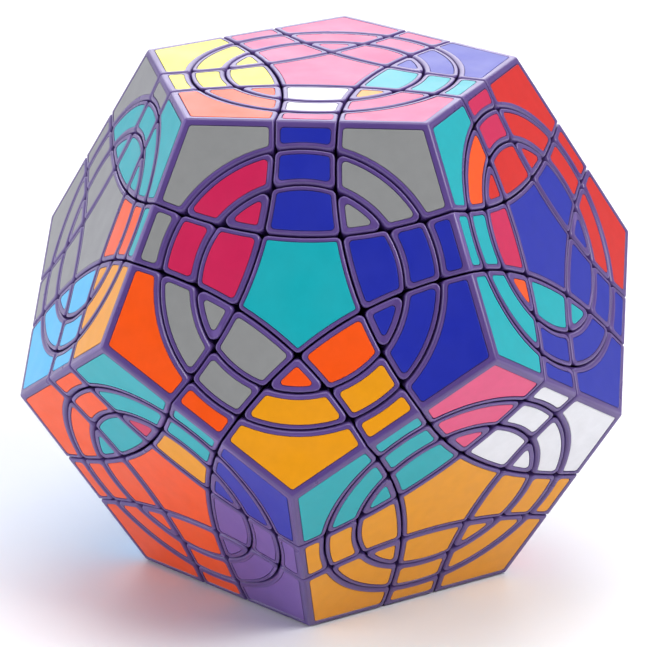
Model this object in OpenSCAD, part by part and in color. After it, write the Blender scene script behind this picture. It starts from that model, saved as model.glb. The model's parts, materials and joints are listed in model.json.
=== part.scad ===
// Dodecahedral twisty puzzle with a ring and a disc in every face.
// Origin at the centre of the core, +Z through the top face, the front face towards -Y.

/* [Body] */
// Distance between two opposite faces
across_flats = 86; // [74:1:110]
// Depth from a face down to the core ball
piece_depth = 14; // [13:0.5:16]

/* [Cuts] */
// Half angle of the cone that parts a disc from its ring
disc_angle = 21; // [18:0.2:24]
// Half angle of the cone that parts a ring from the edges and corners
ring_angle = 27.4; // [26:0.2:28.4]
// Half angle of the cone that parts a whole layer from the rest
layer_angle = 52.6; // [51.4:0.2:53.4]
// Gap between two neighbouring pieces, measured at the face
cut_gap = 0.3; // [0.1:0.05:0.5]

/* [Feet] */
// Depth of the shelf under which the pieces hook each other
shelf_depth = 10; // [9:0.25:11]
// Angle by which a foot reaches inward past a disc or ring cut, for a ring 6.4 degrees wide
circle_reach = 3; // [2:0.2:4]
// Angle by which a foot reaches outward past a layer cut
layer_reach = 2.2; // [1.4:0.2:2.6]
// Radial play between a foot and the shelf above it
shelf_gap = 0.2; // [0.1:0.05:0.4]

/* [Core] */
// Play between the ball and the pieces that slide on it
ball_gap = 0.2; // [0.1:0.05:0.4]
// Wall of the hollow ball
ball_wall = 2.4; // [1.6:0.2:3.4]
// Outer diameter of a screw boss inside the ball
boss_d = 7; // [6:0.5:8]
// Length of a screw boss, measured in from the ball's surface
boss_length = 11; // [8:0.5:12]
// Height of the tongue that centres the two halves of the ball
tongue_height = 1.6; // [1:0.2:3]
// Play around the tongue
tongue_gap = 0.05; // [0.05:0.05:0.2]

/* [Centres] */
// Thickness of the cap that closes a centre
cap_thickness = 2.4; // [1.6:0.2:2.8]
// Diameter of the pocket for the spring and the screw head
pocket_d = 8; // [7:0.2:8.4]
// Depth of the pocket's floor below the face
pocket_depth = 11; // [10:0.2:11.4]
// Depth of the cap's plug in the pocket
plug_depth = 1; // [0.6:0.1:1.4]
// Play around the cap's plug
plug_gap = 0.06; // [0.02:0.02:0.2]

/* [Screws and springs] */
// Diameter of a screw's shank
screw_d = 3; // [2:0.1:3.4]
// Play between the shank and a centre that turns on it
screw_gap = 0.08; // [0.04:0.02:0.2]
// Reach of the shank into its boss, measured in from the ball's surface
screw_reach = 9; // [6:0.5:10]
// Diameter of a screw's head
head_d = 6; // [5:0.2:6.6]
// Height of a screw's head
head_height = 2; // [1.2:0.2:2.4]
// Width of the slot in a screw's head
slot_width = 0.8; // [0.5:0.1:1.2]
// Wire diameter of a spring
wire_d = 0.6; // [0.4:0.1:0.8]
// Number of turns in a spring
spring_turns = 5; // [4:1:6]
// Play between a spring and the centre that it presses on
spring_gap = 0.04; // [0.02:0.02:0.1]

/* [Hidden] */
$fn = 96;

// Angle between the axes of two neighbouring faces
face_turn = atan(2);
face_distance = across_flats / 2;
room_radius = face_distance - piece_depth;
ball_radius = room_radius - ball_gap;
// Half of the gap between pieces, as an angle seen from the centre
half_gap = cut_gap / 2 / face_distance * 180 / PI;
// A length that reaches past every corner
beyond = 2 * face_distance;
shelf = face_distance - shelf_depth;
// How far the neck runs into the foot below it and the part above it
neck_overlap = shelf_gap / 2 + 0.4;
pocket_floor = face_distance - pocket_depth;
cap_base = face_distance - cap_thickness;
head_base = pocket_floor + spring_turns * wire_d * 1.15 + spring_gap;
spring_d = screw_d + 2 * screw_gap + 2 * wire_d;

// Each face as [name, tilt of its axis from +Z, azimuth of its axis,
// local azimuth of its first neighbour]
FACES = [
    ["front", face_turn, -90, 36],
    ["top", 0, 0, -90],
    ["left", face_turn, 198, 36],
    ["right", face_turn, -18, 36],
    ["low_left", 180 - face_turn, 234, 0],
    ["low_right", 180 - face_turn, -54, 0],
    ["rear_upper_left", face_turn, 126, 36],
    ["rear_upper_right", face_turn, 54, 36],
    ["rear_lower_left", 180 - face_turn, 162, 0],
    ["rear_lower_right", 180 - face_turn, 18, 0],
    ["rear_lower", 180 - face_turn, 90, 0],
    ["under", 180, 0, 18]
];
ALL = [0 : 11];
FIVE = [0 : 4];
front = 0;
// The five faces that share their pieces with the front layer
SIDES = [1 : 5];
// The faces whose ring and disc turn on their own
FREE = [0, 6, 7, 8, 9, 10, 11];

function polar(tilt, azimuth) = [sin(tilt) * cos(azimuth), sin(tilt) * sin(azimuth), cos(tilt)];
function tilted(p, tilt) = [
    p[0] * cos(tilt) + p[2] * sin(tilt),
    p[1],
    p[2] * cos(tilt) - p[0] * sin(tilt)
];
function turned(p, turn) = [
    p[0] * cos(turn) - p[1] * sin(turn),
    p[0] * sin(turn) + p[1] * cos(turn),
    p[2]
];
function axis(f) = polar(FACES[f][1], FACES[f][2]);
function neighbour_axis(f, k) =
    turned(tilted(polar(face_turn, FACES[f][3] + 72 * k), FACES[f][1]), FACES[f][2]);
// Index of the face that lies across side k of face f
function neighbour(f, k) = [for (g = ALL) if (axis(g) * neighbour_axis(f, k) > 0.99) g][0];
function edge_on_front(f, k) = neighbour(f, k) == front;
function corner_on_front(f, k) = edge_on_front(f, k) || edge_on_front(f, k + 1);

CENTRE_NODES = ["hub", "cap", "disc_edges", "disc_corners", "ring_edges", "ring_corners"];
LAYER_NODES = [
    "layer_edges", "layer_corners",
    "layer_side_disc_edges", "layer_side_disc_corners",
    "layer_side_ring_edges", "layer_side_ring_corners"
];
BODY_NODES = [
    "side_hubs", "side_caps",
    "side_disc_edges", "side_disc_corners", "side_ring_edges", "side_ring_corners",
    "body_edges", "body_corners",
    "core_upper", "core_lower", "centre_screws", "centre_springs"
];

purple = "#6b5399";
dark_purple = "#4d3d75";

// ---- cutting solids, about the +Z axis ----

// Cone with its tip at the centre, up to the face
module filled_cone(angle) {
    cylinder(h = face_distance, r1 = 0, r2 = face_distance * tan(angle - half_gap));
}

// Room for such a cone, well past the face
module cone_room(angle) {
    cylinder(h = beyond, r1 = 0, r2 = beyond * tan(angle + half_gap));
}

// Moves a shape from this face's axis to the axis of its neighbour k, or keeps it for k < 0
module at_neighbour(k) {
    if (k < 0) {
        children();
    } else {
        rotate([0, face_turn, 72 * k]) children();
    }
}

// What lies inside some cones and outside others, between two radii
module band(inside, outside, low, high) {
    difference() {
        intersection() {
            sphere(high);
            intersection_for (c = inside) at_neighbour(c[0]) filled_cone(c[1]);
        }
        for (c = outside) at_neighbour(c[0]) cone_room(c[1]);
        sphere(low);
    }
}

// A cut is [neighbour or own, half angle above the shelf, half angle below it]
own = -1;
// A foot's reach follows the width of the ring, so that a narrow ring keeps its neck
foot_reach = circle_reach * (ring_angle - disc_angle) / 6.4;
disc_cut = [own, disc_angle, disc_angle - foot_reach];
function ring_cut(k) = [k, ring_angle, ring_angle - foot_reach];
function layer_cut(k) = [k, layer_angle, layer_angle + layer_reach];

// A piece of the skin: the part above the shelf, its foot below, and the neck that joins them
module piece(inside, outside) {
    band([for (c = inside) [c[0], c[1]]], [for (c = outside) [c[0], c[1]]],
        shelf + shelf_gap / 2, beyond);
    band([for (c = inside) [c[0], c[2]]], [for (c = outside) [c[0], c[2]]],
        room_radius, shelf - shelf_gap / 2);
    band([for (c = inside) [c[0], min(c[1], c[2])]], [for (c = outside) [c[0], max(c[1], c[2])]],
        shelf - neck_overlap, shelf + neck_overlap);
}

// ---- the pieces of the skin, on a face about the +Z axis ----

// Pentagonal block in the middle of a face
module centre_block() {
    piece([disc_cut], [for (k = FIVE) layer_cut(k)]);
}

// Everything above a centre's cap line
module above_cap_base() {
    translate([0, 0, cap_base]) cylinder(h = face_distance, r = face_distance);
}

module hub() {
    difference() {
        centre_block();
        above_cap_base();
        cylinder(h = beyond, d = screw_d + 2 * screw_gap);
        translate([0, 0, pocket_floor]) cylinder(h = beyond, d = pocket_d);
    }
}

module cap() {
    intersection() {
        centre_block();
        above_cap_base();
    }
    translate([0, 0, cap_base - plug_depth])
        cylinder(h = plug_depth + cap_thickness / 2, d = pocket_d - 2 * plug_gap);
}

// Four-sided disc piece next to neighbour 0
module disc_edge() {
    piece([disc_cut, layer_cut(0)], [layer_cut(1), layer_cut(4)]);
}

// Three-sided disc piece between neighbours 0 and 1
module disc_corner() {
    piece([disc_cut, layer_cut(0), layer_cut(1)], []);
}

// Four-sided ring piece next to neighbour 0
module ring_edge() {
    piece([ring_cut(own), layer_cut(0)], [disc_cut, layer_cut(1), layer_cut(4)]);
}

// Long curved ring piece between neighbours 0 and 1
module ring_corner() {
    piece([ring_cut(own), layer_cut(0), layer_cut(1)], [disc_cut]);
}

// Edge piece shared with neighbour 0
module edge() {
    piece([layer_cut(own), layer_cut(0)],
        [ring_cut(own), ring_cut(0), layer_cut(1), layer_cut(4)]);
}

// Corner piece shared with neighbours 0 and 1
module corner() {
    piece([for (k = [own, 0, 1]) layer_cut(k)], [for (k = [own, 0, 1]) ring_cut(k)]);
}

// Moves a shape from the +Z axis to a face's axis
module at_face(f) {
    rotate([0, FACES[f][1], FACES[f][2]]) children();
}

// Moves a piece to side k of face f
module at_side(f, k) {
    at_face(f) rotate(FACES[f][3] + 72 * k) children();
}

// ---- groups of pieces that turn together ----

module disc_edges(f) {
    color(purple) for (k = FIVE) at_side(f, k) disc_edge();
}

module disc_corners(f) {
    color(purple) for (k = FIVE) at_side(f, k) disc_corner();
}

module ring_edges(f) {
    color(purple) for (k = FIVE) at_side(f, k) ring_edge();
}

module ring_corners(f) {
    color(purple) for (k = FIVE) at_side(f, k) ring_corner();
}

module centre_hub(f) {
    color(dark_purple) at_side(f, 0) hub();
}

module centre_cap(f) {
    color(purple) at_side(f, 0) cap();
}

module layer_edges() {
    color(purple) for (k = FIVE) at_side(front, k) edge();
}

module layer_corners() {
    color(purple) for (k = FIVE) at_side(front, k) corner();
}

// Pieces of the side faces, those on the front layer or those that stay on the body
module side_disc_edges(on_layer) {
    color(purple) for (f = SIDES) for (k = FIVE)
        if (edge_on_front(f, k) == on_layer) at_side(f, k) disc_edge();
}

module side_disc_corners(on_layer) {
    color(purple) for (f = SIDES) for (k = FIVE)
        if (corner_on_front(f, k) == on_layer) at_side(f, k) disc_corner();
}

module side_ring_edges(on_layer) {
    color(purple) for (f = SIDES) for (k = FIVE)
        if (edge_on_front(f, k) == on_layer) at_side(f, k) ring_edge();
}

module side_ring_corners(on_layer) {
    color(purple) for (f = SIDES) for (k = FIVE)
        if (corner_on_front(f, k) == on_layer) at_side(f, k) ring_corner();
}

module side_hubs() {
    for (f = SIDES) centre_hub(f);
}

module side_caps() {
    for (f = SIDES) centre_cap(f);
}

// An edge is drawn from the first of its two faces, a corner from the first of its three
module body_edges() {
    color(purple) for (f = ALL) for (k = FIVE)
        if (f != front && neighbour(f, k) > f) at_side(f, k) edge();
}

module body_corners() {
    color(purple) for (f = ALL) for (k = FIVE)
        if (f != front && neighbour(f, k) > f && neighbour(f, k + 1) > f) at_side(f, k) corner();
}

// ---- the core ----

// Hollow ball with a screw boss under every face
module hollow_ball() {
    difference() {
        intersection() {
            sphere(ball_radius);
            union() {
                difference() {
                    sphere(ball_radius + 1);
                    sphere(ball_radius - ball_wall);
                }
                for (f = ALL) at_face(f) translate([0, 0, ball_radius - boss_length])
                    cylinder(h = boss_length, d = boss_d);
            }
        }
        for (f = ALL) at_face(f) translate([0, 0, ball_radius - boss_length - 1])
            cylinder(h = boss_length + 2, d = screw_d);
    }
}

// Lip of the lower half that slips into the upper half
module tongue(play) {
    difference() {
        translate([0, 0, -tongue_height])
            cylinder(h = 2 * tongue_height + play, r = ball_radius - ball_wall / 2 + play);
        translate([0, 0, -2 * tongue_height])
            cylinder(h = 5 * tongue_height, r = ball_radius - ball_wall);
    }
}

module core_upper() {
    color("white") difference() {
        hollow_ball();
        translate([0, 0, -ball_radius]) cube(2 * ball_radius, center = true);
        tongue(tongue_gap);
    }
}

module core_lower() {
    color("white") {
        difference() {
            hollow_ball();
            translate([0, 0, ball_radius]) cube(2 * ball_radius, center = true);
        }
        tongue(0);
    }
}

// Slotted screw on the +Z axis
module screw() {
    difference() {
        union() {
            translate([0, 0, ball_radius - screw_reach])
                cylinder(h = head_base - ball_radius + screw_reach + head_height / 2, d = screw_d);
            translate([0, 0, head_base]) cylinder(h = head_height, d = head_d);
        }
        translate([-head_d, -slot_width / 2, head_base + head_height / 2])
            cube([2 * head_d, slot_width, head_height]);
    }
}

module centre_screws() {
    color("silver") for (f = ALL) at_face(f) screw();
}

// Closed coil on the +Z axis, between the pocket's floor and the screw's head
module spring() {
    height = head_base - pocket_floor - spring_gap;
    pitch = (height - wire_d) / (spring_turns - 1);
    translate([0, 0, pocket_floor + spring_gap]) rotate_extrude() {
        for (i = [0 : spring_turns - 1])
            translate([spring_d / 2, wire_d / 2 + i * pitch]) circle(d = wire_d);
        translate([spring_d / 2 - wire_d / 4, wire_d / 2])
            square([wire_d / 2, height - wire_d]);
    }
}

module centre_springs() {
    color("gainsboro") for (f = ALL) at_face(f) spring();
}

// ---- nodes ----

for (f = FREE) {
    centre_hub(f);
    centre_cap(f);
    disc_edges(f);
    disc_corners(f);
    ring_edges(f);
    ring_corners(f);
}
layer_edges();
layer_corners();
side_disc_edges(true);  // layer_side_disc_edges
side_disc_corners(true);  // layer_side_disc_corners
side_ring_edges(true);  // layer_side_ring_edges
side_ring_corners(true);  // layer_side_ring_corners
side_hubs();
side_caps();
side_disc_edges(false);
side_disc_corners(false);
side_ring_edges(false);
side_ring_corners(false);
body_edges();
body_corners();
core_upper();
core_lower();
centre_screws();
centre_springs();
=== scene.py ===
"""Looks for a dodecahedral twisty puzzle: satin purple plastic pieces with printed vinyl stickers."""
import json
import math

import bmesh
import bpy
import numpy as np
from mathutils import Matrix, Vector

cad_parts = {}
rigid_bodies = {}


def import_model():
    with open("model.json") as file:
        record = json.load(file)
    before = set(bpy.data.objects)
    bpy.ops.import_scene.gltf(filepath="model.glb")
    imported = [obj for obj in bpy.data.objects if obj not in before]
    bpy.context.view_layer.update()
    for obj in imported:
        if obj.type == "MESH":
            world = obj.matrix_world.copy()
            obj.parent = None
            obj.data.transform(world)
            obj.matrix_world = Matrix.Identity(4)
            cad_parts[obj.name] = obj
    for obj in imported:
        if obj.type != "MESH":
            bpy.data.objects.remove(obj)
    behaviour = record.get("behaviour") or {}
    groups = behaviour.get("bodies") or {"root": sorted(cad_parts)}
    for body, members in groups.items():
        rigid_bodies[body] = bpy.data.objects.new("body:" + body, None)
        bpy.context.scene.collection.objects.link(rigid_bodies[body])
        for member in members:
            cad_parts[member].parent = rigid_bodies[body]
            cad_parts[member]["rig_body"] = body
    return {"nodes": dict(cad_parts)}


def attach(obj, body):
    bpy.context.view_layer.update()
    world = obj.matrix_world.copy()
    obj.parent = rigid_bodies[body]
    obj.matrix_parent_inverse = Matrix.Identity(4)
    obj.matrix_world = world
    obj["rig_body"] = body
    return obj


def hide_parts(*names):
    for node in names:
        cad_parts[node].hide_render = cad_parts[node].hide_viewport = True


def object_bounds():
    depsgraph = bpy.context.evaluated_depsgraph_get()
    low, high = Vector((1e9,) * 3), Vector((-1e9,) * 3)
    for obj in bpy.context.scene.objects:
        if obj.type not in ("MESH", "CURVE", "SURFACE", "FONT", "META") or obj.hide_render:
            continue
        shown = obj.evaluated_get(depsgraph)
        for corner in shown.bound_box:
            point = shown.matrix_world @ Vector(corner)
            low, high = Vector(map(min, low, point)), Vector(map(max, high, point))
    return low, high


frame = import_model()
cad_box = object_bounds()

MM = 0.001
FACE = cad_box[1].z / MM                 # from the puzzle's centre to a face, in mm
FACE_TURN = math.atan(2)                 # between the axes of two neighbouring faces
RIDGE = math.tan(FACE_TURN / 2)          # a face's inner radius, as a share of FACE

DISC, RING, LAYER = 21.0, 27.4, 52.6     # half angles of the cuts
FOOT_DISC, FOOT_RING, FOOT_LAYER = 18.0, 24.4, 54.8
SHELF = FACE - 9.85                      # the ball on which the upper part of a piece ends
FOOT_TOP = FACE - 10.25                  # the ball on which its foot starts
BASE = FACE - 13.6                       # the ball on which its foot ends, just off the core
CAP_BASE = (FACE - 2.4) / FACE           # share of FACE at which the cap of a centre ends
POCKET = 0.2                             # depth of the shallow bed that a sticker lies in

SEAM = 0.15                              # half of the gap between two pieces
ROUNDING = 0.36                          # on the rim of every piece
PIECE_CORNER = 0.95                      # radius of a piece's corners, seen from above
STICKER_MARGIN = {"centre": 0.9, "disc_corner": 1.16}   # from a cut to the sticker
OTHER_MARGIN = 0.95
RIDGE_MARGIN = 1.05                      # from a ridge to the sticker
BED_PLAY = 0.1                           # between a sticker and the wall of its bed
STICKER_CORNER = {"centre": 0.3, "disc_corner": 0.45, "corner": 0.5}
OTHER_CORNER = 0.6
PLAY = 0.0009                            # how far a piece may sit off its seat, in radians
SEED = 7

# name, tilt of the axis, azimuth of the axis, local azimuth of the first neighbour
tilt_up, tilt_down = math.degrees(FACE_TURN), 180 - math.degrees(FACE_TURN)
FACES = [
    ("front", tilt_up, -90, 36),
    ("top", 0, 0, -90),
    ("left", tilt_up, 198, 36),
    ("right", tilt_up, -18, 36),
    ("low_left", tilt_down, 234, 0),
    ("low_right", tilt_down, -54, 0),
    ("rear_upper_left", tilt_up, 126, 36),
    ("rear_upper_right", tilt_up, 54, 36),
    ("rear_lower_left", tilt_down, 162, 0),
    ("rear_lower_right", tilt_down, 18, 0),
    ("rear_lower", tilt_down, 90, 0),
    ("under", 180, 0, 18),
]
FREE = (0, 6, 7, 8, 9, 10, 11)

STICKER_COLOURS = {
    "t": "#0ca3ac", "k": "#dc4c7a", "b": "#1a279d", "e": "#888988",
    "o": "#ef5106", "g": "#e39509", "w": "#e0e1e5", "y": "#e9df3a",
    "r": "#c91f16", "c": "#c21c4f", "v": "#6f5399", "s": "#48b4e6",
}

# The scramble. A face has its centre, then three stickers for each side (edge, ring, disc),
# then three for each corner (corner, ring, disc).
STICKERS = {
    "front": ("t", "ggo bbb bbb ecc oee", "bbb eee ecc oee ggo"),
    "top": ("k", "kww ttt kkk kkk yyy", "kkg bbb kkk yyy ooo"),
    "right": ("b", "bbb rrb ccr ttc bbt", "rrb rrr tor tto bbt"),
    "left": ("e", "sss too ett eee eee", "ggg ttt ett eee sss"),
    "low_left": ("o", "ooo vvv ttg oot ooo", "vvv bbb ttc oot ooo"),
    "low_right": ("g", "ggg ggg www ttt ggg", "ggg www kkk ttt ggg"),
    "rear_upper_left": ("y", "yyy ssy wwc yyy vvy", "yss yyy wwc vvy yyw"),
    "rear_upper_right": ("r", "rrr ccr rrv ssr rrr", "ccr vvr ssr rrr kkr"),
    "rear_lower_left": ("s", "sss eev sss wws sss", "sse ssv wws sss yys"),
    "rear_lower_right": ("w", "www vvw yyw www ssw", "wwv yyw sww www ccw"),
    "rear_lower": ("c", "ccc yyc ccv rrc wwc", "ccy ccc vvc rrc wcc"),
    "under": ("v", "vvv rrv ccv vvs yyv", "vvr vcc vvv ssv yvv"),
}


def linear(hex_colour):
    parts = [int(hex_colour[i:i + 2], 16) / 255 for i in (1, 3, 5)]
    return tuple(c / 12.92 if c <= 0.04045 else ((c + 0.055) / 1.055) ** 2.4 for c in parts) + (1.0,)


# ---- outlines of the pieces in a face, in mm, each side with the piece on its left ----

def layer_curve(k, angle, inside):
    """Where the cone about neighbour k meets the face."""
    s, a, c = math.sin(FACE_TURN), math.cos(FACE_TURN), math.cos(math.radians(angle))
    y = np.linspace(-30, 30, 401)
    q = s * s - c * c
    root = (s * a * FACE) ** 2 - q * ((a * FACE) ** 2 - c * c * (y * y + FACE * FACE))
    x = (-s * a * FACE + np.sqrt(root)) / q
    turn = math.radians(72 * k)
    line = np.stack([x * math.cos(turn) - y * math.sin(turn),
                     x * math.sin(turn) + y * math.cos(turn)], 1)
    return line[::-1] if inside else line


def circle_arc(angle, inside, middle):
    """A stretch of the circle in which a cone about the face's own axis meets it."""
    t = np.radians(np.linspace(middle - 62, middle + 62, 401))
    line = FACE * math.tan(math.radians(angle)) * np.stack([np.cos(t), np.sin(t)], 1)
    return line if inside else line[::-1]


def ridge_line(k):
    turn = math.radians(72 * k)
    y = np.linspace(-26, 26, 105)
    x = np.full_like(y, RIDGE * FACE)
    return np.stack([x * math.cos(turn) - y * math.sin(turn),
                     x * math.sin(turn) + y * math.cos(turn)], 1)


def shifted(line, distance):
    """The line moved to its left."""
    d = np.gradient(line, axis=0)
    n = np.stack([-d[:, 1], d[:, 0]], 1) / np.linalg.norm(d, axis=1)[:, None]
    return line + distance * n


def crossing(a, b):
    """Where line a passes to the left of line b: the point where a piece's side a ends and side b starts."""
    pa, da = a[:-1, None], (a[1:] - a[:-1])[:, None]
    pb, db = b[None, :-1], (b[1:] - b[:-1])[None]
    cross = da[..., 0] * db[..., 1] - da[..., 1] * db[..., 0]
    safe = np.where(np.abs(cross) < 1e-12, 1.0, cross)
    w = pb - pa
    u = (w[..., 0] * db[..., 1] - w[..., 1] * db[..., 0]) / safe
    v = (w[..., 0] * da[..., 1] - w[..., 1] * da[..., 0]) / safe
    hit = np.argwhere((cross > 1e-12) & (u >= 0) & (u <= 1) & (v >= 0) & (v <= 1))
    i, j = hit[0]
    return a[i] + u[i, j] * (a[i + 1] - a[i])


def nearest(line, point):
    """Parameter on the line of its point nearest to a point."""
    d = line[1:] - line[:-1]
    t = np.clip(((point - line[:-1]) * d).sum(1) / (d * d).sum(1), 0, 1)
    i = int(np.argmin(((line[:-1] + t[:, None] * d - point) ** 2).sum(1)))
    return i + t[i]


def on_line(line, parameter):
    steps = np.arange(len(line))
    return np.stack([np.interp(parameter, steps, line[:, 0]), np.interp(parameter, steps, line[:, 1])], -1)


def outline(sides, margins, radii, steps, round_steps=4):
    """Closed outline of a piece: sides in order, a margin for each, a radius for the corner after each."""
    count = len(sides)
    inner = [shifted(s, m) for s, m in zip(sides, margins)]
    ends, rounds = [], []
    for i in range(count):
        j, r = (i + 1) % count, radii[i]
        if r <= 0:
            p = crossing(inner[i], inner[j])
            ends.append((nearest(inner[i], p), nearest(inner[j], p)))
            rounds.append(None)
            continue
        centre = crossing(shifted(sides[i], margins[i] + r), shifted(sides[j], margins[j] + r))
        ends.append((nearest(inner[i], centre), nearest(inner[j], centre)))
        rounds.append((centre, r))
    points = []
    for i in range(count):
        start, stop = ends[i - 1][1], ends[i][0]
        stretch = on_line(inner[i], np.linspace(start, stop, steps[i] + 1))
        points.extend(stretch if rounds[i] is not None else stretch[:-1])
        if rounds[i] is None:
            continue
        centre, r = rounds[i]
        a = on_line(inner[i], stop) - centre
        b = on_line(inner[(i + 1) % count], ends[i][1]) - centre
        t0, t1 = math.atan2(a[1], a[0]), math.atan2(b[1], b[0])
        if t1 < t0:
            t1 += 2 * math.pi
        for t in np.linspace(t0, t1, round_steps + 1)[1:-1]:
            points.append(centre + r * np.array([math.cos(t), math.sin(t)]))
    return np.array(points)


# Sides of each kind of piece, counter-clockwise: what the side is, and whether the piece is inside it.
# L is a layer cut, D the disc cut, R the ring cut, E the ridge. Steps are how finely a side is drawn.
KINDS = {
    "centre": ([("L", k, False, 6) for k in range(5)], 0),
    "disc_edge": ([("L", 4, False, 4), ("D", 0, True, 6), ("L", 1, False, 4), ("L", 0, True, 6)], 0),
    "disc_corner": ([("L", 1, True, 4), ("D", 0, True, 5), ("L", 0, True, 4)], 36),
    "ring_edge": ([("L", 4, False, 3), ("R", 0, True, 6), ("L", 1, False, 3), ("D", 0, False, 6)], 0),
    "ring_corner": ([("L", 1, True, 3), ("R", 0, True, 9), ("L", 0, True, 3), ("D", 0, False, 8)], 36),
    "edge": ([("L", 4, False, 3), ("E", 0, True, 1), ("L", 1, False, 3), ("R", 0, False, 6)], 0),
    "corner": ([("L", 1, True, 4), ("E", 0, True, 2), ("E", 1, True, 2), ("L", 0, True, 4), ("R", 0, False, 9)], 36),
}


def kind_outline(kind, margin, ridge_margin, radius, foot=False, sticker=False):
    spec, middle = KINDS[kind]
    disc, ring, layer = (FOOT_DISC, FOOT_RING, FOOT_LAYER) if foot else (DISC, RING, LAYER)
    sides = []
    for what, k, inside, _ in spec:
        if what == "L":
            sides.append(layer_curve(k, layer, inside))
        elif what == "D":
            sides.append(circle_arc(disc, inside, middle))
        elif what == "R":
            sides.append(circle_arc(ring, inside, middle))
        else:
            sides.append(ridge_line(k))
    margins = [ridge_margin if what == "E" else margin for what, *_ in spec]
    radii = []
    for i, (what, *_) in enumerate(spec):
        after = spec[(i + 1) % len(spec)][0]
        radii.append(radius if sticker or "E" not in (what, after) else 0)
    return outline(sides, margins, radii, [s[3] for s in spec])


# ---- master meshes, about +Z, in metres ----

def raised(flat, share):
    """Outline points on the plane at that share of the face's distance, shrunk with it."""
    return [Vector((x, y, FACE)) * share * MM for x, y in flat]


def sunk(flat, radius):
    """Outline points on a ball of that radius in mm, so that they keep their depth when a layer turns."""
    return [Vector((x, y, FACE)).normalized() * radius * MM for x, y in flat]


def finish_mesh(bm, name, flat=()):
    """Rounded strips are shaded smooth, and the faces in flat are shaded flat."""
    for face in bm.faces:
        face.smooth = True
    for face in flat:
        face.smooth = False
    bmesh.ops.remove_doubles(bm, verts=bm.verts, dist=2e-6)
    bmesh.ops.recalc_face_normals(bm, faces=bm.faces)
    mesh = bpy.data.meshes.new(name)
    bm.to_mesh(mesh)
    bm.free()
    return mesh


def sticker_outline(kind, inward):
    """A sticker's outline, moved inward by some mm, or outward where that is below 0."""
    margin = STICKER_MARGIN.get(kind, OTHER_MARGIN)
    corner = STICKER_CORNER.get(kind, OTHER_CORNER)
    return kind_outline(kind, margin + inward, RIDGE_MARGIN + inward, corner - inward, sticker=True)


def on_ridge(point, k):
    """Whether a point of a face's outline lies on ridge k."""
    turn = math.radians(72 * k)
    return abs(math.cos(turn) * point[0] + math.sin(turn) * point[1] - RIDGE * FACE) < 1e-3


def block_master(kind, turns):
    """A piece's plastic: one flat top for each turn, walls down to the shelf, and the foot."""
    bm = bmesh.new()
    top = kind_outline(kind, SEAM, 0, PIECE_CORNER)
    under_rim = 1 - 0.9 / FACE     # keeps the rim's shading off the wall
    levels = [raised(top, 1.0), raised(top, under_rim)]
    if kind != "centre":
        foot = kind_outline(kind, SEAM, 0, PIECE_CORNER * 0.6, foot=True)
        levels += [sunk(top, SHELF), sunk(foot, FOOT_TOP), sunk(foot, BASE)]
    else:
        levels.append(raised(top, CAP_BASE))
    for turn in turns:
        rings = [[bm.verts.new(turn @ p) for p in level] for level in levels]
        bm.faces.new(rings[0])
        bm.faces.new(rings[-1][::-1])
        count = len(top)
        for i in range(count):
            j = (i + 1) % count
            if any(on_ridge(top[i], k) and on_ridge(top[j], k) for k in (0, 1)):
                continue
            for upper, lower in zip(rings, rings[1:]):
                bm.faces.new((upper[i], lower[i], lower[j], upper[j]))
    bmesh.ops.delete(bm, geom=[v for v in bm.verts if not v.link_faces], context="VERTS")
    bmesh.ops.remove_doubles(bm, verts=bm.verts, dist=2e-6)
    bmesh.ops.recalc_face_normals(bm, faces=bm.faces)
    # the rim and the ridges are the edges that bound a flat top
    tops = {f for f in bm.faces if len(f.verts) > 8 and min(v.co.length for v in f.verts) > 0.985 * FACE * MM}
    rim = [e for e in bm.edges if any(f in tops for f in e.link_faces)]
    bmesh.ops.bevel(bm, geom=rim, offset=ROUNDING * MM, segments=3, profile=0.5, affect="EDGES",
                    clamp_overlap=False, loop_slide=True)
    bmesh.ops.recalc_face_normals(bm, faces=bm.faces)
    tops = [f for f in bm.faces if len(f.verts) > 8 and f.calc_center_median().length > 0.985 * FACE * MM]
    bmesh.ops.inset_individual(bm, faces=tops, thickness=0.05 * MM, depth=0, use_even_offset=True)
    flat_tops = []
    for turn in turns:
        normal = (turn @ Vector((0, 0, 1))).normalized()
        top_face = max(tops, key=lambda f: f.normal @ normal)
        rim_edges = list(top_face.edges)
        bmesh.ops.delete(bm, geom=[top_face], context="FACES_ONLY")
        tops.remove(top_face)
        bed = sticker_outline(kind, -BED_PLAY)
        upper, lower = ([bm.verts.new(turn @ p) for p in raised(bed, share)]
                        for share in (1.0, 1 - POCKET / FACE))
        bed_edges = [bm.edges.new((a, b)) for a, b in zip(upper, upper[1:] + upper[:1])]
        filled = bmesh.ops.triangle_fill(bm, use_beauty=True, use_dissolve=False,
                                         edges=rim_edges + bed_edges, normal=normal)
        flat_tops += [f for f in filled["geom"] if isinstance(f, bmesh.types.BMFace)]
        flat_tops.append(bm.faces.new(lower))
        for i in range(len(upper)):
            flat_tops.append(bm.faces.new((upper[i - 1], upper[i], lower[i], lower[i - 1])))
    return finish_mesh(bm, "plastic " + kind, flat_tops)


def sticker_master(kind):
    """A thin printed sheet with a softened upper edge."""
    bm = bmesh.new()
    levels = [(0, POCKET + 0.02), (0, 0.07), (0.06, 0.03), (0.1, 0.03)]
    rings = [[bm.verts.new(p) for p in raised(sticker_outline(kind, inward), 1 - depth / FACE)]
             for inward, depth in levels]
    flat = [bm.faces.new(rings[-1]), bm.faces.new(rings[0][::-1])]
    count = len(rings[0])
    for lower, upper in zip(rings, rings[1:]):
        for i in range(count):
            j = (i + 1) % count
            bm.faces.new((upper[i], lower[i], lower[j], upper[j]))
    return finish_mesh(bm, "sticker " + kind, flat)


def about(axis, degrees):
    return Matrix.Rotation(math.radians(degrees), 4, axis)


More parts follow.
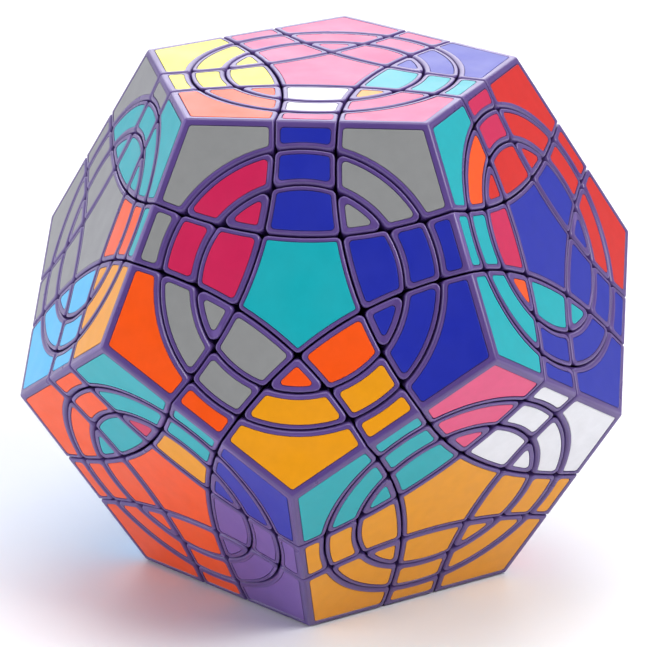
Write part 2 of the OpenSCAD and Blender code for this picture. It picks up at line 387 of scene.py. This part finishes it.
edge_middle = Vector((math.sin(FACE_TURN / 2), 0, math.cos(FACE_TURN / 2)))
vertex = Vector((RIDGE, RIDGE * math.tan(math.radians(36)), 1)).normalized()
ONE = [Matrix.Identity(4)]
TURNS = {
    "edge": [about(edge_middle, 0), about(edge_middle, 180)],
    "corner": [about(vertex, 120 * i) for i in range(3)],
}


# ---- node helper and materials ----

def add(tree, kind, links=None, **settings):
    """Adds a node. links maps an input, by name or number, to a constant or to an output."""
    node = tree.nodes.new(kind)
    for key, value in settings.items():
        setattr(node, key, value)
    for key, value in (links or {}).items():
        if isinstance(value, bpy.types.NodeSocket):
            tree.links.new(value, node.inputs[key])
        else:
            node.inputs[key].default_value = value
    return node


def new_material(name):
    material = bpy.data.materials.new(name)
    material.use_nodes = True
    tree = material.node_tree
    tree.nodes.clear()
    shader = add(tree, "ShaderNodeBsdfPrincipled")
    add(tree, "ShaderNodeOutputMaterial", {"Surface": shader.outputs[0]})
    return material, tree, shader


def drifting(tree, size_mm, low, high):
    """A value that drifts between low and high from patch to patch, in patches size_mm across."""
    place_on = add(tree, "ShaderNodeTexCoord")
    patches = add(tree, "ShaderNodeTexNoise", {
        "Vector": place_on.outputs["Object"], "Scale": 1 / (size_mm * MM), "Detail": 3.0})
    return add(tree, "ShaderNodeMapRange", {
        "Value": patches.outputs[0], "From Min": 0.3, "From Max": 0.7,
        "To Min": low, "To Max": high}).outputs[0]


def two_tones(tree, dark, light, size_mm):
    """A colour that drifts between two near tones, as no moulding or metal is quite even."""
    tone = add(tree, "ShaderNodeMix", {
        0: drifting(tree, size_mm, 0, 1), "A": linear(dark), "B": linear(light)}, data_type="RGBA")
    return tone.outputs["Result"]


def roughened(tree, shader, size_mm, height_mm, low, high, patch_mm):
    """Fine surface texture, and gloss that changes slightly from patch to patch."""
    place_on = add(tree, "ShaderNodeTexCoord")
    fine = add(tree, "ShaderNodeTexNoise", {
        "Vector": place_on.outputs["Object"], "Scale": 1 / (size_mm * MM), "Detail": 2.0})
    bump = add(tree, "ShaderNodeBump", {
        "Height": fine.outputs[0], "Distance": height_mm * MM, "Strength": 1.0})
    tree.links.new(bump.outputs[0], shader.inputs["Normal"])
    tree.links.new(drifting(tree, patch_mm, low, high), shader.inputs["Roughness"])


def moulded_abs(name, light, dark, rim_highlight=None):
    """Moulded ABS: even satin plastic from a spark-eroded mould, with a paler painted highlight on its outstanding
    rounded edges.
    """
    material, tree, shader = new_material(name)
    colour = two_tones(tree, dark, light, 14)
    if rim_highlight:
        # painted highlight: paler where the surface stands out from its surroundings, on the rounded rims and ridges
        form = add(tree, "ShaderNodeNewGeometry")
        edge = add(tree, "ShaderNodeMapRange", {
            "Value": form.outputs["Pointiness"], "From Min": 0.515, "From Max": 0.59,
            "To Min": 0.0, "To Max": 0.45})
        rim_highlight_mix = add(tree, "ShaderNodeMix", {0: edge.outputs[0], "A": colour, "B": linear(rim_highlight)}, data_type="RGBA")
        colour = rim_highlight_mix.outputs["Result"]
    tree.links.new(colour, shader.inputs["Base Color"])
    shader.inputs["IOR"].default_value = 1.53
    # a mould's sparks leave pits near 0.05 mm, drawn at 0.35 mm so that they show
    roughened(tree, shader, 0.35, 0.01, 0.26, 0.36, 9)
    return material


def printed_vinyl():
    """Printed vinyl sheet: flat strong colour under a satin film, with a very slight waviness."""
    material, tree, shader = new_material("printed vinyl")
    print_colour = add(tree, "ShaderNodeAttribute", attribute_name="print_colour")
    mottle = add(tree, "ShaderNodeHueSaturation", {
        "Color": print_colour.outputs["Color"], "Value": drifting(tree, 2.2, 0.965, 1.03)})
    tree.links.new(mottle.outputs[0], shader.inputs["Base Color"])
    shader.inputs["IOR"].default_value = 1.5
    shader.inputs["Specular IOR Level"].default_value = 0.4
    shader.inputs["Coat Weight"].default_value = 0.06
    shader.inputs["Coat Roughness"].default_value = 0.22
    roughened(tree, shader, 3.5, 0.01, 0.36, 0.46, 6)
    return material


def bare_metal(name, colour, dark, low, high, streak_mm):
    """Bare metal, whose marks from drawing or turning break up its shine."""
    material, tree, shader = new_material(name)
    tree.links.new(two_tones(tree, dark, colour, streak_mm), shader.inputs["Base Color"])
    shader.inputs["Metallic"].default_value = 1.0
    roughened(tree, shader, 0.2, 0.006, low, high, 1.5)
    return material


def moulded_nylon():
    """Moulded nylon: milky, waxy and softly see-through at its edges."""
    material, tree, shader = new_material("moulded nylon")
    tree.links.new(two_tones(tree, "#d5d2c6", "#e6e4da", 6), shader.inputs["Base Color"])
    shader.inputs["Subsurface Weight"].default_value = 0.2
    shader.inputs["Subsurface Scale"].default_value = 0.001
    roughened(tree, shader, 0.5, 0.015, 0.42, 0.55, 5)
    return material


# the paler third colour is a painted highlight on the rounded rims and ridges of the pieces
PURPLE = moulded_abs("moulded purple ABS", "#56407f", "#4e3975", rim_highlight="#8069ac")
HUB_PURPLE = moulded_abs("moulded dark purple ABS", "#4f3f7a", "#443567")
VINYL = printed_vinyl()
NYLON = moulded_nylon()
ZINC = bare_metal("zinc-plated steel", "#c9ccd0", "#aab0b6", 0.24, 0.36, 0.8)
SPRING_STEEL = bare_metal("drawn spring steel", "#b3b0aa", "#8f8c88", 0.2, 0.32, 0.4)


# ---- geometry nodes: one piece set at each seat, turned about the puzzle's centre ----

def placing_tree():
    tree = bpy.data.node_groups.new("set pieces in their seats", "GeometryNodeTree")
    face = tree.interface
    face.new_socket("Geometry", in_out="INPUT", socket_type="NodeSocketGeometry")
    for name, kind, value in (("Piece", "NodeSocketObject", None), ("Finish", "NodeSocketMaterial", None),
                              ("Play", "NodeSocketFloat", PLAY), ("Seed", "NodeSocketInt", SEED)):
        socket = face.new_socket(name, in_out="INPUT", socket_type=kind)
        if value is not None:
            socket.default_value = value
    face.new_socket("Geometry", in_out="OUTPUT", socket_type="NodeSocketGeometry")
    given = add(tree, "NodeGroupInput")
    seat = add(tree, "GeometryNodeInputNamedAttribute", {"Name": "seat_turn"}, data_type="FLOAT_VECTOR")
    number = add(tree, "GeometryNodeInputNamedAttribute", {"Name": "piece_number"}, data_type="INT")
    turn = add(tree, "FunctionNodeEulerToRotation", {0: seat.outputs[0]})
    below = add(tree, "ShaderNodeMath", {0: given.outputs["Play"], 1: -1.0}, operation="MULTIPLY")
    ends = [add(tree, "ShaderNodeCombineXYZ", {i: end for i in range(3)})
            for end in (below.outputs[0], given.outputs["Play"])]
    loose = add(tree, "FunctionNodeRandomValue", {0: ends[0].outputs[0], 1: ends[1].outputs[0]},
                data_type="FLOAT_VECTOR")
    tree.links.new(number.outputs[0], loose.inputs["ID"])
    tree.links.new(given.outputs["Seed"], loose.inputs["Seed"])
    slack = add(tree, "FunctionNodeEulerToRotation", {0: loose.outputs[0]})
    both = add(tree, "FunctionNodeRotateRotation", {0: turn.outputs[0], 1: slack.outputs[0]}, rotation_space="LOCAL")
    master = add(tree, "GeometryNodeObjectInfo", {"Object": given.outputs["Piece"]})
    put = add(tree, "GeometryNodeInstanceOnPoints", {
        "Points": given.outputs["Geometry"], "Instance": master.outputs["Geometry"], "Rotation": both.outputs[0]})
    real = add(tree, "GeometryNodeRealizeInstances", {0: put.outputs[0]})
    finish = add(tree, "GeometryNodeSetMaterial", {
        "Geometry": real.outputs[0], "Material": given.outputs["Finish"]})
    add(tree, "NodeGroupOutput", {0: finish.outputs[0]})
    return tree


PLACING = placing_tree()
SOCKETS = {s.name: s.identifier for s in PLACING.interface.items_tree if s.in_out == "INPUT"}


def place(master, seats, finish, name):
    """seats: (turn, piece number, print colour or None). Returns one plain mesh object with a copy at each seat."""
    points = bpy.data.meshes.new("seats")
    points.from_pydata([(0, 0, 0)] * len(seats), [], [])
    seat_turn = points.attributes.new("seat_turn", "FLOAT_VECTOR", "POINT")
    seat_turn.data.foreach_set("vector", [c for t, _, _ in seats for c in t.to_euler("XYZ")])
    numbers = points.attributes.new("piece_number", "INT", "POINT")
    numbers.data.foreach_set("value", [n for _, n, _ in seats])
    if seats[0][2]:
        colours = points.attributes.new("print_colour", "FLOAT_COLOR", "POINT")
        colours.data.foreach_set("color", [c for _, _, h in seats for c in linear(h)])
    holder = bpy.data.objects.new("holder", points)
    bpy.context.scene.collection.objects.link(holder)
    source = bpy.data.objects.new("source", master)
    bpy.context.scene.collection.objects.link(source)
    modifier = holder.modifiers.new("place", "NODES")
    modifier.node_group = PLACING
    for key, value in (("Piece", source), ("Finish", finish), ("Play", PLAY), ("Seed", SEED)):
        modifier[SOCKETS[key]] = value
    shown = holder.evaluated_get(bpy.context.evaluated_depsgraph_get())
    mesh = bpy.data.meshes.new_from_object(shown)
    holder.modifiers.remove(modifier)
    bpy.data.objects.remove(holder)
    bpy.data.objects.remove(source)
    mesh.name = name
    made = bpy.data.objects.new(name, mesh)
    bpy.context.scene.collection.objects.link(made)
    return made


# ---- which piece sits where, and which CAD node it belongs to ----

def face_turn_matrix(f, k):
    _, tilt, azimuth, first = FACES[f]
    return about("Z", azimuth) @ about("Y", tilt) @ about("Z", first + 72 * k)


def face_axis(f):
    return face_turn_matrix(f, 0) @ Vector((0, 0, 1))


NEIGHBOUR_OF = about("Y", math.degrees(FACE_TURN)) @ Vector((0, 0, 1))
NEIGHBOURS = [[max(range(12), key=lambda g: face_axis(g) @ (face_turn_matrix(f, k) @ NEIGHBOUR_OF))
               for k in range(5)] for f in range(12)]


def near_faces(kind, f, k):
    """The other faces that the piece at side or corner k of face f lies against."""
    return [NEIGHBOURS[f][k]] + ([NEIGHBOURS[f][(k + 1) % 5]] if kind.endswith("corner") else [])


def node_of(kind, f, k):
    """The CAD node that the piece at side or corner k of face f belongs to."""
    near = near_faces(kind, f, k)
    if kind in ("edge", "corner"):
        return ("layer_" if 0 in [f] + near else "body_") + kind + "s"
    if f in FREE:
        return f"{FACES[f][0]}_{kind}s"
    return ("layer_side_" if 0 in near else "side_") + kind + "s"


def piece_number(kind, f, k):
    """One number for each piece, the same from each face that shares it, so that its parts share their play."""
    if kind in ("edge", "corner"):
        a = sorted([f] + near_faces(kind, f, k)) + [12]
        return 10000 + a[0] * 400 + a[1] * 20 + a[2]
    return 100 * f + 10 * ("disc_edge", "disc_corner", "ring_edge", "ring_corner").index(kind) + k


def print_of(kind, f, k):
    centre, sides, corners = STICKERS[FACES[f][0]]
    place_in = {"edge": 0, "corner": 0, "ring_edge": 1, "ring_corner": 1, "disc_edge": 2, "disc_corner": 2}[kind]
    return STICKER_COLOURS[(corners if kind.endswith("corner") else sides).split()[k][place_in]]


plastic_seats, sticker_seats = {}, {}
for f in range(12):
    cap_node = f"{FACES[f][0]}_cap" if f in FREE else "side_caps"
    turn = face_turn_matrix(f, 0)
    plastic_seats.setdefault((cap_node, "centre"), []).append((turn, 9000 + f, None))
    centre_print = STICKER_COLOURS[STICKERS[FACES[f][0]][0]]
    sticker_seats.setdefault((cap_node, "centre"), []).append((turn, 9000 + f, centre_print))
    for kind in ("disc_edge", "disc_corner", "ring_edge", "ring_corner", "edge", "corner"):
        for k in range(5):
            key, turn, number = (node_of(kind, f, k), kind), face_turn_matrix(f, k), piece_number(kind, f, k)
            if kind not in ("edge", "corner") or f == min([f] + near_faces(kind, f, k)):
                plastic_seats.setdefault(key, []).append((turn, number, None))
            sticker_seats.setdefault(key, []).append((turn, number, print_of(kind, f, k)))

block_meshes = {kind: block_master(kind, TURNS.get(kind, ONE)) for kind in KINDS}
sticker_meshes = {kind: sticker_master(kind) for kind in KINDS}

for (node, kind), seats in plastic_seats.items():
    body = frame["nodes"][node]["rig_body"]
    block = place(block_meshes[kind], seats, PURPLE, node + ".plastic")
    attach(block, body)
    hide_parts(node)
    prints = place(sticker_meshes[kind], sticker_seats[(node, kind)], VINYL, node + ".stickers")
    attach(prints, body)

# ---- the inner parts stay as they are and get their real finishes ----

for name, node in frame["nodes"].items():
    if name.endswith(("_hub", "side_hubs")):
        finish = HUB_PURPLE
    elif name.startswith("core_"):
        finish = NYLON
    elif name == "centre_screws":
        finish = ZINC
    elif name == "centre_springs":
        finish = SPRING_STEEL
    else:
        continue
    node.data.materials.clear()
    node.data.materials.append(finish)

# ---- floor, light and camera ----

floor_z = cad_box[0].z


def floor_material():
    """Smooth matt paper sweep, almost white."""
    material, tree, shader = new_material("matt white paper")
    tree.links.new(two_tones(tree, "#f4f4f4", "#f8f8f8", 40), shader.inputs["Base Color"])
    shader.inputs["Specular IOR Level"].default_value = 0.2
    roughened(tree, shader, 0.8, 0.01, 0.85, 0.95, 30)
    return material


bm = bmesh.new()
bmesh.ops.create_grid(bm, x_segments=8, y_segments=8, size=6.0)
bmesh.ops.translate(bm, verts=bm.verts, vec=(0, 0, floor_z - 0.0002))
floor_mesh = bpy.data.meshes.new("floor")
bm.to_mesh(floor_mesh)
bm.free()
floor_mesh.materials.append(floor_material())
floor = bpy.data.objects.new("floor", floor_mesh)
bpy.context.scene.collection.objects.link(floor)

bpy.context.scene.view_settings.view_transform = "Standard"   # keeps the printed colours strong


FRONT_DARK, BACK_BRIGHT = 0.02, 0.90      # how bright the room is in front and behind


def studio():
    """White room, brightest behind and to the left and darker towards the viewer, with a plain white backdrop."""
    world = bpy.data.worlds.new("studio")
    world.use_nodes = True
    tree = world.node_tree
    tree.nodes.clear()
    around = add(tree, "ShaderNodeTexCoord")
    toward = add(tree, "ShaderNodeVectorMath", {0: around.outputs["Generated"], 1: (-1.05, 1.0, 0.0)},
                 operation="DOT_PRODUCT")
    room = add(tree, "ShaderNodeMapRange", {
        "Value": toward.outputs["Value"], "From Min": -0.45, "From Max": 0.6,
        "To Min": FRONT_DARK, "To Max": BACK_BRIGHT})
    walls = add(tree, "ShaderNodeBackground", {"Color": linear("#f2f1ff"), "Strength": room.outputs[0]})
    backdrop = add(tree, "ShaderNodeBackground", {"Color": (1, 1, 1, 1), "Strength": 1.0})
    seen = add(tree, "ShaderNodeLightPath")
    both = add(tree, "ShaderNodeMixShader", {
        0: seen.outputs["Is Camera Ray"], 1: walls.outputs[0], 2: backdrop.outputs[0]})
    add(tree, "ShaderNodeOutputWorld", {0: both.outputs[0]})
    return world


bpy.context.scene.world = studio()


def soft_light(name, spot, target, size, watts, colour):
    data = bpy.data.lights.new(name, "AREA")
    data.shape, data.size, data.size_y = "RECTANGLE", size[0], size[1]
    data.energy, data.color = watts, linear(colour)[:3]
    light = bpy.data.objects.new(name, data)
    light.location = spot
    light.rotation_euler = (Vector(target) - Vector(spot)).to_track_quat("-Z", "Y").to_euler()
    bpy.context.scene.collection.objects.link(light)


# the key from above right, a fill on the left, a low one in front, and a panel that the top face mirrors
soft_light("key", (0.62, -0.22, 0.62), (0, 0, 0), (0.5, 0.5), 6.5, "#ffffff")
soft_light("overhead", (0.0, 0.1, 0.85), (0, 0, 0), (0.6, 0.6), 3.4, "#ffffff")
soft_light("left", (-0.80, -0.30, 0.22), (0, 0, 0), (0.5, 0.5), 2.5, "#f6f8ff")
soft_light("low", (-0.30, -0.92, 0.06), (0, 0, 0), (0.7, 0.2), 0.7, "#ffffff")
soft_light("back panel", (-0.10, 1.00, 0.48), (0, 0, 0.04), (1.1, 0.5), 5.4, "#f6f5ff")

AZIMUTH, ELEVATION, ROLL = 6.472, 21.672, -0.758       # degrees
DISTANCE = 0.5303
AIM_LEFT, AIM_DOWN = 0.00048, 0.00186                  # of the puzzle's middle
LENS, SENSOR = 172.4, 36.0                             # mm

middle = (cad_box[0] + cad_box[1]) / 2
azimuth, elevation, roll = math.radians(AZIMUTH), math.radians(ELEVATION), math.radians(ROLL)
back = Vector((math.cos(elevation) * math.sin(azimuth), -math.cos(elevation) * math.cos(azimuth), math.sin(elevation)))
right = Vector((0, 0, 1)).cross(back).normalized()
up = back.cross(right)
right, up = (math.cos(roll) * right + math.sin(roll) * up, math.cos(roll) * up - math.sin(roll) * right)
eye = middle + DISTANCE * back
aim = middle - AIM_LEFT * right - AIM_DOWN * up
back = (eye - aim).normalized()
right = up.cross(back).normalized()
up = back.cross(right)
camera_data = bpy.data.cameras.new("camera")
camera_data.lens, camera_data.sensor_width, camera_data.sensor_fit = LENS, SENSOR, "HORIZONTAL"
camera_data.clip_start, camera_data.clip_end = 0.01, 50
camera = bpy.data.objects.new("camera", camera_data)
camera.matrix_world = Matrix.Translation(eye) @ Matrix((right, up, back)).transposed().to_4x4()
bpy.context.scene.collection.objects.link(camera)
bpy.context.scene.camera = camera
